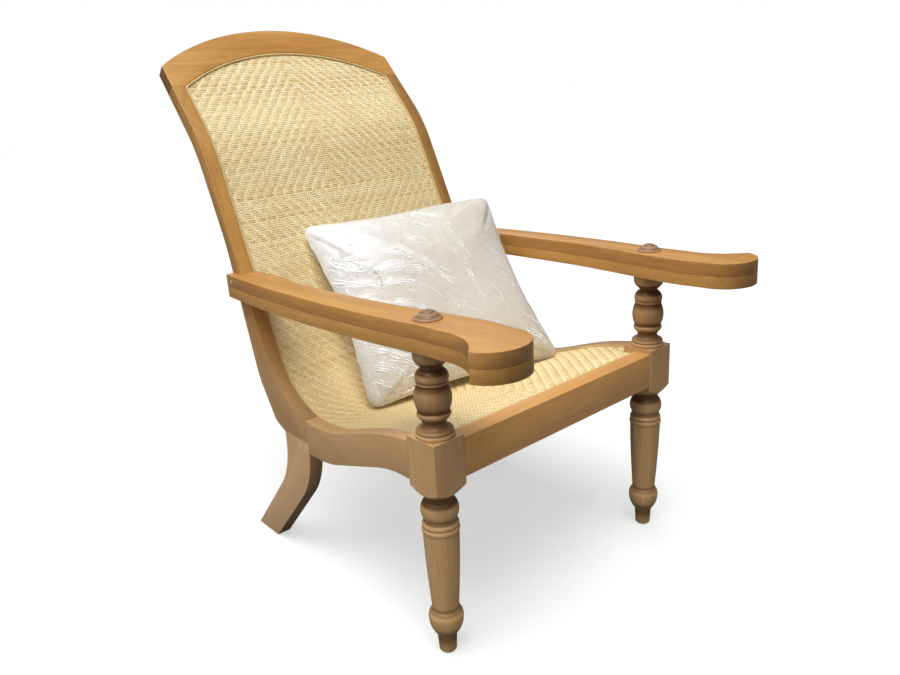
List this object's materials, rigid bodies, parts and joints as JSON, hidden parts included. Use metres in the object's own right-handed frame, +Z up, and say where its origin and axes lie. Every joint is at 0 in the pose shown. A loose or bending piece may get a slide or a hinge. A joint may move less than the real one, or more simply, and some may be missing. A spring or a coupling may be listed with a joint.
{
  "type": "planters chair",
  "caption": "Raked lounge chair with woven cane seat and back, turned front legs, long arms, leg rests that swing out from under them, and a loose square cushion in a clear bag.",
  "frame": {"origin": "on the floor, at the middle of the chair's width and of its length", "axes": "+Z up; +Y from the front to the back, so the sitter faces -Y; +X to the sitter's left"},
  "size_m": [0.7078, 1.0679, 1.0413],
  "materials": {
    "honey_wood": "satin",
    "dark_turned_wood": "satin",
    "dowel_wood": "matte",
    "cane_reed": "satin",
    "woven_cane": "satin",
    "cream_linen": "matte",
    "clear_film": "gloss"
  },
  "bodies": {
    "chair": {"front_leg_right": "honey_wood", "front_leg_left": "honey_wood", "rear_leg_right": "honey_wood", "rear_leg_left": "honey_wood", "side_rail_right": "honey_wood", "side_rail_left": "honey_wood", "back_stile_right": "honey_wood", "back_stile_left": "honey_wood", "arm_right": "honey_wood", "arm_left": "honey_wood", "crest_rail": "honey_wood", "front_rail": "honey_wood", "rear_cross_rail": "honey_wood", "pivot_button_right": "dark_turned_wood", "pivot_button_left": "dark_turned_wood", "front_rail_dowels": "dowel_wood", "side_rail_dowels": "dowel_wood", "rear_leg_dowels": "dowel_wood", "cross_rail_dowels": "dowel_wood", "crest_dowels": "dowel_wood", "arm_pegs": "dowel_wood", "reed_right": "cane_reed", "reed_left": "cane_reed", "reed_front": "cane_reed", "reed_top": "cane_reed", "cane_sheet": "woven_cane"},
    "leg_rest_right": {"leg_rest_right": "honey_wood"},
    "leg_rest_left": {"leg_rest_left": "honey_wood"},
    "cushion": {"cushion": "cream_linen", "cushion_bag": "clear_film"}
  },
  "joints": [
    {"name": "leg_rest_right_swing", "type": "hinge", "parent": "chair", "child": "leg_rest_right", "pos_m": [-0.281, -0.328, 0.5436], "axis": [0, 0.0215, 0.9998], "range_deg": [0, 180]},
    {"name": "leg_rest_left_swing", "type": "hinge", "parent": "chair", "child": "leg_rest_left", "pos_m": [0.281, -0.328, 0.5436], "axis": [0, -0.0215, -0.9998], "range_deg": [0, 180]},
    {"name": "cushion_lift", "type": "slide", "parent": "chair", "child": "cushion", "axis": [0, 0, 1], "range_m": [0, 0.3]}
  ]
}
